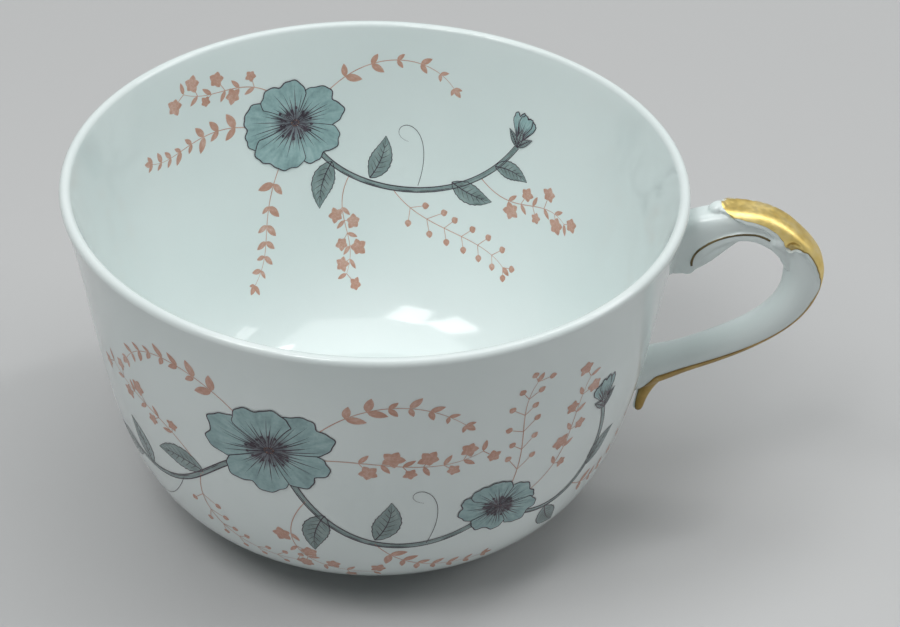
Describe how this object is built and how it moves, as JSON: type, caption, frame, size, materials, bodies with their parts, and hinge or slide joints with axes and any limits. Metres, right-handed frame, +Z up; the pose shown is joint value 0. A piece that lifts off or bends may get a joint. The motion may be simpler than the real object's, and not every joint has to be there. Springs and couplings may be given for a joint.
{
  "type": "flat teacup",
  "caption": "Flared porcelain teacup on a low foot ring, with a gilded scroll loop handle, for holding and drinking hot tea.",
  "frame": {"origin": "on the table plane under the foot ring, below the middle of the cup's box, handle included", "axes": "+Z up out of the cup's mouth, +X towards the handle, +Y across the handle"},
  "size_m": [0.1134, 0.092, 0.055],
  "materials": {
    "porcelain": "gloss",
    "slip": "gloss",
    "gilding": "satin"
  },
  "bodies": {
    "root": {"bowl": "porcelain", "handle": "porcelain", "upper_luting_slip": "slip", "lower_luting_slip": "slip", "thumb_leaf_gilding": "gilding", "spine_gilding": "gilding", "tail_gilding": "gilding", "scroll_line_gilding_front": "gilding", "scroll_line_gilding_back": "gilding"}
  },
  "joints": []
}
